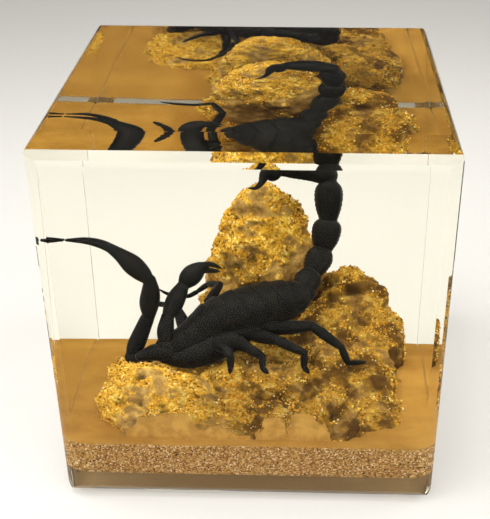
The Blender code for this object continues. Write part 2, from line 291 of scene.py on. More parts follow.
def limb(knots, up=(0.0, 0.0, 1.0), rows=28, around=18, tall=1.0, relief=None, caps=4, boxy=2.0):
    """A closed limb along knots of (x, y, z, radius).

    A ring at t has half-width r(t) and half-height r(t) * tall, measured across the path and towards up.
    Its outline is the curve |x|^boxy + |y|^boxy = 1. relief(t, angle) adds to the radius, in millimetres.
    Each end is closed by a half ball.
    """
    line = through(knots, rows)
    path, radius = line[:, :3], np.maximum(line[:, 3], 0.05)
    along = unit(np.gradient(path, axis=0))
    t = np.linspace(0.0, 1.0, rows)
    bend = np.linspace(0.0, np.pi / 2, caps + 1)[:-1]
    path = np.vstack([
        path[0] - along[0] * radius[0] * np.cos(bend)[:, None],
        path,
        path[-1] + along[-1] * radius[-1] * np.cos(bend[::-1])[:, None],
    ])
    scale = np.concatenate([radius[0] * np.sin(bend), radius, radius[-1] * np.sin(bend[::-1])])
    shrink = np.concatenate([np.sin(bend), np.ones(rows), np.sin(bend[::-1])])
    along = np.vstack([np.repeat(along[:1], caps, 0), along, np.repeat(along[-1:], caps, 0)])
    t = np.concatenate([np.zeros(caps), t, np.ones(caps)])
    side = unit(np.cross(along, np.asarray(up, float)))
    top = np.cross(side, along)
    angle = np.linspace(0, 2 * np.pi, around, endpoint=False)
    x, y = np.cos(angle), np.sin(angle)
    size = (np.abs(x) ** boxy + np.abs(y) ** boxy) ** (-1.0 / boxy)
    ring = scale[:, None] * size[None, :]
    if relief is not None:
        ring = ring + relief(t[:, None], angle[None, :]) * shrink[:, None]
    across = (ring * x)[..., None] * side[:, None, :]
    upward = (ring * y * tall)[..., None] * top[:, None, :]
    return closed_tube(path[:, None, :] + across + upward)


def ball(centre, radii, rows=14, around=20):
    """A closed ellipsoid. Its point at bend b and angle a is (sin b cos a, sin b sin a, cos b) * radii."""
    bend = np.linspace(0, np.pi, rows)[:, None]
    angle = np.linspace(0, 2 * np.pi, around, endpoint=False)[None, :]
    level = np.cos(bend) + 0 * angle
    unit_ball = np.stack([np.sin(bend) * np.cos(angle), np.sin(bend) * np.sin(angle), level], -1)
    return closed_tube(np.asarray(centre) + unit_ball * np.asarray(radii))


# Random lattice for the noise that shapes stone and sand
LATTICE_SIDE = 48
LATTICE = np.random.default_rng(11).random((LATTICE_SIDE,) * 3)


def clouds(points, size):
    """Smooth noise from -1 to 1: random values on a lattice of the given spacing, blended by smoothstep."""
    at = points / size
    low = np.floor(at).astype(int)
    t = at - low
    t = t * t * (3 - 2 * t)
    low %= LATTICE_SIDE
    high = (low + 1) % LATTICE_SIDE
    total = 0.0
    for x, wx in ((low[:, 0], 1 - t[:, 0]), (high[:, 0], t[:, 0])):
        for y, wy in ((low[:, 1], 1 - t[:, 1]), (high[:, 1], t[:, 1])):
            for z, wz in ((low[:, 2], 1 - t[:, 2]), (high[:, 2], t[:, 2])):
                total = total + LATTICE[x, y, z] * wx * wy * wz
    return total * 2 - 1


def rough(points, size, octaves, keep=0.5):
    """Fractal noise: each octave has half the size and keep times the height of the last."""
    return sum(clouds(points + 7.3 * k, size / 2**k) * keep**k for k in range(octaves))


def shape_of(made):
    """Points and outward normals of a mesh, in millimetres."""
    mesh = made.data
    points = np.zeros(len(mesh.vertices) * 3, np.float32)
    normals = np.zeros_like(points)
    mesh.vertices.foreach_get("co", points)
    mesh.vertex_normals.foreach_get("vector", normals)
    return points.reshape(-1, 3).astype(float) / MM, normals.reshape(-1, 3).astype(float)


def move_points(made, points):
    """Puts new points, in millimetres, into a mesh."""
    made.data.vertices.foreach_set("co", (points * MM).astype(np.float32).ravel())
    made.data.update()


def carry(made, name, values):
    """Gives each point of a mesh a number that a finish reads by name."""
    layer = made.data.attributes.new(name, "FLOAT", "POINT")
    layer.data.foreach_set("value", values.astype(np.float32))


def bake_modifiers(made):
    """Replaces an object's mesh by what its modifiers make of it."""
    bpy.context.view_layer.update()
    shown = made.evaluated_get(bpy.context.evaluated_depsgraph_get())
    mesh = bpy.data.meshes.new_from_object(shown)
    old = made.data
    made.modifiers.clear()
    made.data = mesh
    mesh.name = made.name
    bpy.data.meshes.remove(old)


def belong(made, slot, *nodes):
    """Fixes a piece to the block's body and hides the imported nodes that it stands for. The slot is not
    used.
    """
    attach(made, ROOT)
    if nodes:
        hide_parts(*nodes)
    return made


# ---------------------------------------------------------------- clear block

RESIN_IOR = 1.58
# Colour and density of the absorption, and the tint of the surface's shine
RESIN_TINT = (1.0, 0.99, 0.86, 1.0)
RESIN_DEPTH = 15.0
RESIN_SHINE = (0.06, 0.06, 0.06, 1.0)
# Radii of the edges: upright in front, upright at the back, level below and level above. In an upright one
# the first radius is the width cut from the front or back face and the second the width cut from the side
FRONT_ROUND = (3.0, 1.3)
BACK_ROUND = (0.06, 0.06)
FOOT_ROUND = (3.2, 3.2)
TOP_ROUND = (1.7, 1.7)
# The level edges are round and the upright ones are polished in a few narrow flats
ROUND_STEPS = 12
UPRIGHT_FLATS = 4
# How far the front face leans back over its height
FRONT_LEAN = 2.42
# The top rolls down towards the front edge: its slope grows as (ROLL_START - y)^ROLL_POWER up to ROLL_SLOPE
ROLL_START = -18.6
ROLL_END = -25.4
ROLL_SLOPE = math.radians(18.0)
ROLL_POWER = 1.75
ROLL_STEPS = 36
# Two flat cuts between the roll and the front face: lean from level, and how far each begins below the end
# of the roll and in front of it
FRONT_CUTS = ((math.radians(45.0), 0.0), (math.radians(78.0), 1.1))
# Faces that turn more than this at an edge meet sharply. Beside a face larger than FLAT_AREA, in square
# millimetres, even a small turn shows
SHARP_ANGLE = math.radians(9.0)
FLAT_ANGLE = math.radians(1.0)
FLAT_AREA = 400.0
# Points nearer than this are one, and faces that turn less than this are one flat
SAME_POINT = 0.003
SAME_FLAT = math.radians(0.1)


def slice_off(shape, point, normal):
    """Cuts away what lies beyond a plane and closes the cut with one flat face."""
    everything = [*shape.verts, *shape.edges, *shape.faces]
    cut = bmesh.ops.bisect_plane(
        shape, geom=everything, dist=1e-6, plane_co=Vector(point), plane_no=Vector(normal), clear_outer=True
    )
    rim = [piece for piece in cut["geom_cut"] if isinstance(piece, bmesh.types.BMEdge)]
    if len(rim) > 2:
        bmesh.ops.contextual_create(shape, geom=rim)


def close_hull(shape):
    """Rebuilds the shape as the hull of its points: one face for each flat part, and sharp edges marked."""
    bmesh.ops.remove_doubles(shape, verts=shape.verts, dist=SAME_POINT)
    points = [point.co.copy() for point in shape.verts]
    shape.clear()
    for point in points:
        shape.verts.new(point)
    hull = bmesh.ops.convex_hull(shape, input=shape.verts)
    left_over = hull["geom_interior"] + hull["geom_unused"]
    inner = {piece for piece in left_over if isinstance(piece, bmesh.types.BMVert)}
    bmesh.ops.delete(shape, geom=list(inner), context="VERTS")
    bmesh.ops.dissolve_limit(shape, angle_limit=SAME_FLAT, verts=shape.verts, edges=shape.edges)
    bmesh.ops.recalc_face_normals(shape, faces=shape.faces)
    for edge in shape.edges:
        wide = max(face.calc_area() for face in edge.link_faces) > FLAT_AREA
        edge.smooth = edge.calc_face_angle() < (FLAT_ANGLE if wide else SHARP_ANGLE)
    for face in shape.faces:
        face.smooth = True


def roll_planes():
    """Tangent planes of the rolled front of the top, as points and normals in the YZ plane."""
    ahead = np.linspace(0.0, ROLL_START - ROLL_END, ROLL_STEPS)
    slope = ROLL_SLOPE * (ahead / ahead[-1]) ** ROLL_POWER
    drop = np.concatenate([[0.0], np.cumsum(np.diff(ahead) * np.tan((slope[1:] + slope[:-1]) / 2))])
    places = [(0.0, ROLL_START - s, BLOCK_HIGH[2] - d) for s, d in zip(ahead, drop)]
    normals = [(0.0, -math.sin(a), math.cos(a)) for a in slope]
    return list(zip(places, normals))[1:]


def edge_planes():
    """Tangent planes of the round edges, as points and normals. The rolled edge of the top has none.

    At a corner c between sides with normals a and b, the arc with radii p and q has its middle at
    m = c - p a - q b. Its tangent plane with normal n = a cos(t) + b sin(t) passes through m + h n, where
    h^2 = (p cos(t))^2 + (q sin(t))^2.
    """
    lean = math.atan2(FRONT_LEAN, BLOCK_HIGH[2] - BLOCK_LOW[2])
    sides = {(axis, end): end * np.eye(3)[axis] for axis in range(3) for end in (-1, 1)}
    sides[1, -1] = np.array([0.0, -math.cos(lean), math.sin(lean)])
    planes = []
    for first, second in ((0, 1), (0, 2), (1, 2)):
        for ends in ((-1, -1), (-1, 1), (1, -1), (1, 1)):
            if (first, second) == (1, 2) and ends == (-1, 1):
                continue
            level, upright = (FOOT_ROUND, TOP_ROUND), (FRONT_ROUND, BACK_ROUND)
            p, q = (level if second == 2 else upright)[ends[1] > 0]
            steps = ROUND_STEPS if second == 2 else UPRIGHT_FLATS
            corner = BLOCK_LOW.copy()
            for axis, end in zip((first, second), ends):
                corner[axis] = BLOCK_HIGH[axis] if end > 0 else BLOCK_LOW[axis]
            a, b = sides[first, ends[0]], sides[second, ends[1]]
            for turn in np.linspace(0, math.pi / 2, steps + 2)[1:-1]:
                normal = a * math.cos(turn) + b * math.sin(turn)
                reach = math.hypot(p * math.cos(turn), q * math.sin(turn))
                planes.append((corner - p * a - q * b + reach * normal, normal))
    return planes


def resin_finish():
    """Clear resin, faintly yellow in depth."""
    finish = Finish("clear_resin")
    finish.set(
        Base_Color=(1.0, 1.0, 1.0, 1.0),
        Roughness=0.0,
        IOR=RESIN_IOR,
        Transmission_Weight=1.0,
        Specular_Tint=RESIN_SHINE,
    )
    depth = finish.node("ShaderNodeVolumeAbsorption", {}, {"Color": RESIN_TINT, "Density": RESIN_DEPTH})
    output = finish.tree.nodes["Material Output"]
    finish.tree.links.new(depth.socket, output.inputs["Volume"])
    return finish.material


def make_block():
    """The one clear block: a box cut by the planes of its leaning front, its rolled top and its edges."""
    shape = bmesh.new()
    bmesh.ops.create_cube(shape, size=1.0)
    bmesh.ops.scale(shape, vec=Vector(BLOCK_HIGH - BLOCK_LOW), verts=shape.verts)
    bmesh.ops.translate(shape, vec=Vector((BLOCK_HIGH + BLOCK_LOW) / 2), verts=shape.verts)
    tall = BLOCK_HIGH[2] - BLOCK_LOW[2]
    slice_off(shape, (0.0, BLOCK_LOW[1], BLOCK_LOW[2]), (0.0, -tall, FRONT_LEAN))
    planes = roll_planes()
    for point, normal in planes:
        slice_off(shape, point, normal)
    end = np.array(planes[-1][0])
    for lean, away in FRONT_CUTS:
        slice_off(shape, end - (0.0, away, away), (0.0, -math.sin(lean), math.cos(lean)))
    for point, normal in edge_planes():
        slice_off(shape, point, normal)
    close_hull(shape)
    bmesh.ops.scale(shape, vec=Vector((MM, MM, MM)), verts=shape.verts)
    mesh = bpy.data.meshes.new("clear_block")
    shape.to_mesh(mesh)
    shape.free()
    mesh.materials.append(resin_finish())
    made = bpy.data.objects.new("clear_block", mesh)
    bpy.context.scene.collection.objects.link(made)
    return belong(made, "clear_resin", "resin_lower", "resin_upper")


# ---------------------------------------------------------------- sand

SAND_SIDE = BLOCK_HIGH[0] - 0.07
SAND_FRONT = SAND_LOW[1] + 0.2
SAND_BACK = SAND_HIGH[1] + 2.0
# Radii of the upright corners, front and back
SAND_CORNERS = (4.4, 0.8)
SAND_FLOOR = SAND_LOW[2]
SAND_LEVEL = SAND_HIGH[2]
# The top sinks towards the back, and the back face leans in below it. Each begins at its own Y
SAND_SINK = 2.6
SAND_SINK_FROM = 8.0
SAND_UNDERCUT = 0.75
SAND_UNDERCUT_FROM = 15.0
# Low swells of the top: height and width
SAND_SWELL = 0.12
SAND_SWELL_SIZE = 9.0
SAND_GRAIN = 0.24
# Points along a quarter of the outline, rings over the top and up the side, and which of the top's rings,
# each seventh, are repeated under the bed
SAND_QUARTER = 120
SAND_TOP_RINGS = 50
SAND_SIDE_RINGS = 18
SAND_UNDER_STEP = 7
TOP_DARK, TOP_PALE, TOP_DUST = colour(158, 112, 44), colour(182, 136, 62), colour(194, 152, 84)
BROWN_GRAIN, TAN_GRAIN = colour(140, 98, 46), colour(208, 164, 98)
CREAM_GRAIN, BLACK_GRAIN = colour(238, 214, 168), colour(44, 32, 22)
# Painted light: a pale colour for the bed's underside, standing in for light from beneath
PAINTED_UNDERSIDE_LIGHT = colour(232, 200, 150)


def sand_finish():
    """Fine gold-tan sand: smooth on top, grains of mixed tones on what stands upright, and paler below with
    painted light from beneath.
    """
    finish = Finish("sand")
    grain = finish.cells(SAND_GRAIN, "Color")
    tone = finish.channel(grain, "Red")
    kind = finish.channel(grain, "Green")
    level = finish.attribute("level")
    patch = finish.noise(6.0, 3.0)
    fine = finish.noise(0.3, 2.0)
    smooth = finish.mix(patch.ramp(0.3, 0.75), TOP_DARK, TOP_PALE)
    smooth = finish.mix(fine.ramp(0.3, 0.8) * 0.35, smooth, TOP_DUST)
    mixed = finish.mix(tone.ramp(0.1, 0.9), BROWN_GRAIN, TAN_GRAIN)
    mixed = finish.mix(kind.ramp(0.86, 0.88), mixed, CREAM_GRAIN)
    mixed = finish.mix(kind.ramp(0.96, 0.97), mixed, BLACK_GRAIN)
    upright = 1 - level.ramp(0.3, 0.8)
    base = finish.mix(upright, smooth, mixed)
    # Painted light: the underside is made paler, as if lit from beneath
    base = finish.mix(level.ramp(-0.5, -0.9) * 0.8, base, PAINTED_UNDERSIDE_LIGHT)
    relief = finish.bump(finish.cells(SAND_GRAIN) * upright, 0.6, 0.08)
    finish.set(Base_Color=base, Roughness=0.9, Specular_IOR_Level=0.0, Normal=relief)
    return finish.material


def sand_outline():
    """The bed seen from above: a rectangle with round corners, wider ones in front than at the back."""
    bend = np.linspace(0, np.pi / 2, SAND_QUARTER // 8)
    rounds = [(1, 1, 1), (-1, 1, 1), (-1, -1, 0), (1, -1, 0)]
    parts = []
    for turn, (sx, sy, back) in enumerate(rounds):
        radius = SAND_CORNERS[back]
        middle = np.array([sx * (SAND_SIDE - radius), (SAND_BACK if sy > 0 else SAND_FRONT) - sy * radius])
        angle = bend + turn * np.pi / 2
        parts.append(middle + radius * np.column_stack([np.cos(angle), np.sin(angle)]))
    loop = np.vstack([*parts, parts[0][:1]])
    length = np.concatenate([[0], np.cumsum(np.linalg.norm(np.diff(loop, axis=0), axis=1))])
    at = np.linspace(0, length[-1], 4 * SAND_QUARTER, endpoint=False)
    return np.column_stack([np.interp(at, length, loop[:, k]) for k in (0, 1)])


def make_sand():
    """The bed of sand as rings of its outline: out under the bed, up its side, and in again over its top.

    A ring is the outline shrunk to its middle by a factor. It stands at a share, rise, of the way from the
    floor to the top, and the top sinks by SAND_SINK times the square of the share of the way to the back.
    """
    outline = sand_outline()
    centre = np.array([0.0, (SAND_FRONT + SAND_BACK) / 2])
    over = np.linspace(0, 1, SAND_TOP_RINGS) ** 0.8
    under = over[1::SAND_UNDER_STEP]
    shrink = np.concatenate([under, np.ones(SAND_SIDE_RINGS), over[::-1]])
    climb = np.linspace(0, 1, SAND_SIDE_RINGS + 2)[1:-1]
    rise = np.concatenate([np.zeros(len(under)), climb, np.ones(len(over))])
    flat = centre + (outline - centre)[None] * shrink[:, None, None]
    back = flat[..., 1]
    sink = np.clip((back - SAND_SINK_FROM) / (SAND_BACK - SAND_SINK_FROM), 0, 1) ** 2 * SAND_SINK
    swell = rough(np.dstack([flat, 0 * sink]).reshape(-1, 3), SAND_SWELL_SIZE, 2).reshape(sink.shape)
    top = SAND_LEVEL - sink + SAND_SWELL * swell
    z = SAND_FLOOR + (top - SAND_FLOOR) * rise[:, None]
    lean = np.clip((back - SAND_UNDERCUT_FROM) / (SAND_BACK - SAND_UNDERCUT_FROM), 0, 1)
    y = back - lean * (top - z) * SAND_UNDERCUT
    points, faces = closed_tube(np.dstack([flat[..., 0], y, z]))
    made = write_mesh("sand", points, faces, sand_finish())
    _, normals = shape_of(made)
    carry(made, "level", normals[:, 2])
    return belong(made, "sand", "sand_bed")


# ---------------------------------------------------------------- rock

# Lumps of stone: centre and radii
PEAK = (
    ((1.6, 22.2, 30.4), (8.2, 5.0, 11.2)),
    ((-1.6, 23.4, 23.6), (7.4, 4.0, 10.5)),
    ((5.3, 21.9, 25.7), (6.4, 5.6, 9.5)),
    ((1.0, 22.2, 15.5), (12.0, 5.4, 10.0)),
)
RIGHT_MOUND = (
    ((17.0, 20.7, 17.6), (6.6, 6.2, 8.4)),
    ((20.6, 15.1, 12.7), (6.0, 9.0, 7.6)),
    ((14.1, 14.0, 14.3), (7.0, 8.0, 7.0)),
    ((15.2, 2.3, 10.1), (10.5, 13.0, 8.2)),
)
LEDGE = (
    ((-4.2, -5.0, 11.8), (5.0, 4.6, 4.5)),
    ((2.2, -4.6, 12.0), (5.0, 4.8, 4.5)),
    ((8.7, -4.2, 12.2), (5.2, 5.2, 4.5)),
    ((-4.0, 4.9, 9.0), (13.0, 11.0, 6.8)),
    ((-12.6, 7.0, 8.9), (9.5, 10.0, 5.4)),
    ((6.1, 10.1, 8.8), (12.0, 10.0, 7.0)),
)
LEFT_MOUND = (
    ((-17.0, -14.4, 13.1), (7.6, 9.2, 7.6)),
    ((-12.1, -16.1, 12.4), (7.6, 8.0, 7.0)),
    ((-20.2, -11.4, 12.2), (5.0, 8.4, 6.8)),
    ((-7.6, -18.8, 10.9), (5.5, 6.0, 4.6)),
    ((-19.2, 3.9, 8.5), (7.0, 14.0, 3.8)),
)
FRONT_RIDGE = (
    ((-1.0, -22.1, 10.3), (20.0, 3.6, 2.6)),
    ((2.0, -13.9, 8.8), (20.0, 9.0, 3.2)),
    ((-13.0, -21.0, 10.2), (7.6, 6.0, 7.0)),
    ((-6.2, -21.5, 9.6), (6.4, 5.6, 5.2)),
    ((4.0, -21.5, 10.2), (3.8, 5.6, 6.2)),
    ((9.4, -21.5, 10.4), (5.6, 5.6, 6.4)),
    ((13.3, -20.8, 11.9), (4.4, 4.2, 5.8)),
    ((18.2, -11.7, 9.3), (7.6, 10.0, 3.4)),
)
# The lumps are fused on cubes of this size
ROCK_VOXEL = 0.36
# The skin goes a little way down into the sand
ROCK_FOOT = ROCK_LOW[2] - 2.6
# The front is shaved flat: its Y at the foot, its lean back from upright, and its relief
SHAVED_FOOT = -25.5
SHAVED_LEAN = math.radians(14.0)
SHAVED_SIZE, SHAVED_HEIGHT = 3.0, 0.2
# Size and height of the relief: swells, sharp pits about a middle level, and fine roughness
SWELL_SIZE, SWELL_HEIGHT = 6.0, 0.85
PIT_SIZE, PIT_LEVEL, PIT_HEIGHT = 3.4, 0.6, 0.65
FINE_SIZE, FINE_HEIGHT = 1.1, 0.3
PATCH_SIZE = 4.5
# Painted shade: the crust is darkened to the right and low down, where less light falls, and left bright at
# the left and on the peak
PAINTED_SHADE_FROM = (-12.0, 0.0)
PAINTED_SHADE_BELOW = (24.0, 30.0)
CRUST_GRAIN = 0.42
BARE_BROWN, BARE_TAN, BARE_FLECK = colour(152, 116, 60), colour(214, 172, 96), colour(234, 196, 118)
DEEP_GOLD, BRIGHT_GOLD, PALE_GOLD = colour(180, 122, 30), colour(252, 200, 70), colour(255, 220, 104)
BRIGHT_SPECK, DARK_SPECK = colour(255, 232, 140), colour(98, 62, 18)
# The last three colours are painted shade: on the crust's shaded side, deeper there in patches, and in its
# hollows
PAINTED_SHADE_CRUST, PAINTED_PATCHY_SHADE_CRUST, PAINTED_HOLLOW_SHADE = colour(108, 72, 22), colour(84, 54, 17), colour(58, 38, 12)
SHAVED_BROWN, SHAVED_TAN = colour(178, 134, 62), colour(208, 162, 80)


def ridged(points, size, octaves):
    """Noise with sharp creases: 1 - 2 |n| over octaves, each half the size and height of the last."""
    return sum((1 - 2 * np.abs(clouds(points + 5.1 * k, size / 2**k))) * 0.5**k for k in range(octaves))


def rock_finish():
    """Sandstone, bare and tan in patches and on the shaved front, elsewhere under a crust of gold sand.

    The crust carries painted shade: darker in its hollows, and to its right and low down, where less light
    falls.
    """
    finish = Finish("rock")
    crust = finish.attribute("crust")
    painted_hollow_shade = finish.attribute("painted_hollow_shade")
    painted_side_shade = finish.attribute("painted_side_shade")
    cut = finish.attribute("cut")
    patch = finish.noise(4.4, 4.0, 0.6)
    drift = finish.noise(1.7, 3.0, 0.6)
    speck = finish.noise(0.45, 3.0, 0.65)
    grain = finish.channel(finish.cells(CRUST_GRAIN, "Color"), "Red")
    bare = finish.mix(drift.ramp(0.35, 0.7), BARE_BROWN, BARE_TAN)
    bare = finish.mix(speck.ramp(0.5, 0.75) * 0.4, bare, BARE_FLECK)
    gold = finish.mix(speck.ramp(0.32, 0.68), DEEP_GOLD, BRIGHT_GOLD)
    gold = finish.mix(drift.ramp(0.52, 0.68) * 0.8, gold, PALE_GOLD)
    gold = finish.mix(grain.ramp(0.9, 0.93) * 0.8, gold, BRIGHT_SPECK)
    gold = finish.mix(grain.ramp(0.1, 0.04) * 0.7, gold, DARK_SPECK)
    base = finish.mix(crust, bare, gold)
    # Painted shade on the crust's right side and low down, deeper in patches
    base = finish.mix(painted_side_shade * 0.6, base, PAINTED_SHADE_CRUST)
    base = finish.mix(patch.ramp(0.44, 0.6) * painted_side_shade, base, PAINTED_PATCHY_SHADE_CRUST)
    # Painted shade in the crust's hollows and creases
    base = finish.mix(painted_hollow_shade, base, PAINTED_HOLLOW_SHADE)
    base = finish.mix(cut, base, finish.mix(drift.ramp(0.3, 0.7), SHAVED_BROWN, SHAVED_TAN))
    height = finish.cells(CRUST_GRAIN) * crust * 0.4 + finish.noise(0.9, 5.0, 0.7) * 0.9
    relief = finish.bump(height * (1 - cut * 0.9), 0.9, 0.35)
    finish.set(Base_Color=base, Roughness=0.8, Specular_IOR_Level=0.05, Normal=relief)
    return finish.material


def make_rock():
    """The rock: lumps fused to one skin, roughened by noise along its normals and shaved at the front.

    A point moves along its normal by the sum of swells, pits and fine noise. Its Y is then raised to the
    shaved front's and its Z to the foot's. Crust grows with how far the skin faces up plus patchy noise,
    and is nothing where the rock is shaved. Painted hollow shade grows with the depth of the pits, and
    painted side shade to the right and downwards.
    """
    lumps = [lump for group in (PEAK, RIGHT_MOUND, LEDGE, LEFT_MOUND, FRONT_RIDGE) for lump in group]
    points, faces = join([ball(centre, radii) for centre, radii in lumps])
    made = write_mesh("stone", points, faces, rock_finish())
    skin = made.modifiers.new("skin", "REMESH")
    skin.mode = "VOXEL"
    skin.voxel_size = ROCK_VOXEL * MM
    bake_modifiers(made)
    points, normals = shape_of(made)
    pits = ridged(points + 31.0, PIT_SIZE, 3)
    relief = rough(points, SWELL_SIZE, 3) * SWELL_HEIGHT + (pits - PIT_LEVEL) * PIT_HEIGHT
    relief = relief + rough(points + 11.0, FINE_SIZE, 2) * FINE_HEIGHT
    slab_y = SHAVED_FOOT + (points[:, 2] - ROCK_LOW[2]) * math.tan(SHAVED_LEAN)
    slab_y = slab_y + rough(points + 13.0, SHAVED_SIZE, 3) * SHAVED_HEIGHT
    points += normals * relief[:, None]
    bare = points[:, 1] < slab_y
    points[:, 1] = np.maximum(points[:, 1], slab_y)
    points[:, 2] = np.maximum(points[:, 2], ROCK_FOOT)
    points = np.clip(points, (*ROCK_LOW[:2], ROCK_FOOT), ROCK_HIGH)
    move_points(made, points)
    _, normals = shape_of(made)
    cut = bare & (normals[:, 1] < -0.8)
    patches = rough(points + 5.0, PATCH_SIZE, 3)
    crust = np.clip((normals[:, 2] + 0.1 + patches * 1.5) * 2.5, 0, 1) * ~cut
    # Painted shade: how deep each point lies in a pit or crease
    painted_hollow_shade = np.clip((0.1 - pits) * 1.3, 0, 1) * 0.85
    # Painted side shade, growing to the right and downwards
    painted_side_shade = np.interp(points[:, 0], PAINTED_SHADE_FROM, (0.05, 0.9))
    painted_side_shade = painted_side_shade * np.interp(points[:, 2], PAINTED_SHADE_BELOW, (1.0, 0.25))
    for name, values in (("crust", crust), ("painted_hollow_shade", painted_hollow_shade), ("painted_side_shade", painted_side_shade), ("cut", cut)):
        carry(made, name, values)
    made.data.shade_smooth()
    return belong(made, "rock", "rock")


# Loose grains stuck to the crust: seed, count, least and greatest radius, how far out each sits as a share
# of its radius, how far it is scattered, how much it is squeezed or stretched, and the size of the patches
# in which they lie thickest
GRAIN_SEED = 5
GRAIN_COUNT = 11000
GRAIN_SIZES = (0.09, 0.34)
GRAIN_RISE = 0.3
GRAIN_SCATTER = 0.1
GRAIN_STRETCH = (0.6, 1.25)
GRAIN_PATCH = 2.2
GRAIN_CORNERS = np.array([(1, 0, 0), (-1, 0, 0), (0, 1, 0), (0, -1, 0), (0, 0, 1), (0, 0, -1)], float)
GRAIN_SIDES = np.array(
    [(0, 2, 4), (2, 1, 4), (1, 3, 4), (3, 0, 4), (2, 0, 5), (1, 2, 5), (3, 1, 5), (0, 3, 5)]
)
DULL_GRAIN, GOLD_GRAIN = colour(120, 76, 16), colour(232, 172, 54)
GOLD_FLAKE, WHITE_FLAKE = colour(255, 226, 112), colour(255, 246, 214)


def grain_finish():
    """Gold grains: most are dull, some are bright flakes."""
    finish = Finish("grains")
    tone = finish.attribute("tone")
    flake = tone.ramp(0.78, 0.8)
    base = finish.mix(tone.ramp(0.0, 0.7), DULL_GRAIN, GOLD_GRAIN)
    base = finish.mix(flake, base, GOLD_FLAKE)
    base = finish.mix(tone.ramp(0.95, 0.96), base, WHITE_FLAKE)
    finish.set(Base_Color=base, Metallic=flake * 0.7, Roughness=0.7 - flake * 0.4, Specular_IOR_Level=0.1)
    return finish.material


def make_grains(stone):
    """Small eight-sided grains set in the crust, each stretched and turned at random."""
    random = np.random.default_rng(GRAIN_SEED)
    points, normals = shape_of(stone)
    crust = np.zeros(len(points), np.float32)
    stone.data.attributes["crust"].data.foreach_get("value", crust)
    weight = crust**2 * np.clip(0.2 + rough(points + 17.0, GRAIN_PATCH, 2) * 1.3, 0.03, 1)
    chosen = random.choice(len(points), GRAIN_COUNT, replace=False, p=weight / weight.sum())
    size = GRAIN_SIZES[0] + (GRAIN_SIZES[1] - GRAIN_SIZES[0]) * random.random(GRAIN_COUNT) ** 3
    centre = points[chosen] + normals[chosen] * (size * GRAIN_RISE)[:, None]
    centre = centre + random.normal(0, GRAIN_SCATTER, (GRAIN_COUNT, 3))
    axes, _ = np.linalg.qr(random.normal(size=(GRAIN_COUNT, 3, 3)))
    axes *= np.sign(np.linalg.det(axes))[:, None, None]
    stretch = random.uniform(*GRAIN_STRETCH, (GRAIN_COUNT, 1, 3)) * size[:, None, None]
    corners = (centre[:, None] + (GRAIN_CORNERS[None] * stretch) @ axes).reshape(-1, 3)
    sides = GRAIN_SIDES[None] + np.arange(GRAIN_COUNT)[:, None, None] * len(GRAIN_CORNERS)
    grains = write_mesh("grains", corners, [sides.reshape(-1, 3)], grain_finish(), smooth=False)
    carry(grains, "tone", np.repeat(random.random(GRAIN_COUNT), len(GRAIN_CORNERS)))
    return belong(grains, "rock")


# ---------------------------------------------------------------- scorpion

# Each chain is a row of places with the radius there. Places of legs and of the tail's joints have none
TRUNK = (
    (-14.3, -2.4, 19.5, 2.0),
    (-13.1, -1.8, 19.5, 2.7),
    (-11.3, -0.8, 19.7, 3.1),
    (-9.6, 0.0, 20.7, 3.25),
    (-7.7, 1.0, 22.2, 3.5),
    (-5.7, 2.0, 23.1, 3.9),
    (-2.9, 3.4, 23.7, 4.2),
    (0.0, 4.8, 24.2, 4.25),
    (2.6, 6.1, 24.6, 4.1),
    (5.0, 7.2, 25.0, 3.7),
    (7.1, 8.1, 25.5, 3.0),
    (8.3, 9.0, 25.9, 2.2),
)
TAIL_JOINTS = (
    (8.1, 8.8, 26.1),
    (9.8, 12.2, 28.3),
    (11.7, 15.6, 31.6),
    (12.5, 16.8, 36.9),
    (12.4, 18.2, 43.2),
)
# Radii of the first four tail segments: each one's belly, and the neck between two of them
TAIL_BELLY = (2.15, 2.2, 2.35, 2.25)
TAIL_NECK = 1.5
# Shares of a segment's length at which its radius is set
TAIL_STEPS = (-0.08, 0.1, 0.35, 0.68, 0.9, 1.05)
LAST_SEGMENT = (
    (12.2, 18.7, 44.4, 1.7),
    (9.5, 19.0, 45.3, 1.9),
    (6.1, 19.0, 45.5, 1.6),
    (4.4, 18.8, 45.4, 1.2),
)
BULB = (
    (4.6, 18.8, 45.4, 0.9),
    (3.6, 18.3, 45.3, 1.5),
    (2.7, 17.7, 45.1, 1.6),
    (1.9, 17.2, 44.8, 1.1),
    (1.5, 16.7, 44.3, 0.7),
)
STING = ((1.7, 16.8, 44.4, 0.7), (1.1, 15.8, 43.6, 0.5), (0.3, 14.8, 43.2, 0.34), (-0.8, 13.8, 43.5, 0.1))
FAR_ARM = (
    ((-16.8, -1.9, 17.8, 1.2), (-18.8, -1.5, 16.8, 1.5), (-20.5, -0.9, 16.6, 1.3)),
    ((-20.6, -0.8, 16.8, 1.0), (-19.6, -0.8, 19.2, 1.45), (-17.5, -0.7, 24.1, 1.2)),
    (
        (-17.2, -0.7, 24.1, 0.9),
        (-16.9, -0.9, 27.0, 1.6),
        (-16.5, -1.3, 29.6, 1.5),
        (-16.4, -1.6, 31.9, 1.0),
    ),
    (
        (-16.5, -1.7, 31.7, 0.9),
        (-17.6, -1.7, 33.1, 1.5),
        (-19.2, -1.2, 34.6, 1.7),
        (-21.0, -0.5, 36.0, 1.2),
        (-22.8, 0.4, 37.0, 0.8),
    ),
    ((-22.0, 0.6, 36.7, 0.7), (-24.2, 1.6, 37.5, 0.5), (-26.7, 2.2, 37.8, 0.38), (-29.7, 2.1, 37.8, 0.2)),
    ((-22.0, -0.2, 36.6, 0.7), (-24.2, 0.4, 37.4, 0.5), (-26.5, 0.7, 37.9, 0.38), (-29.7, 0.9, 38.1, 0.2)),
)
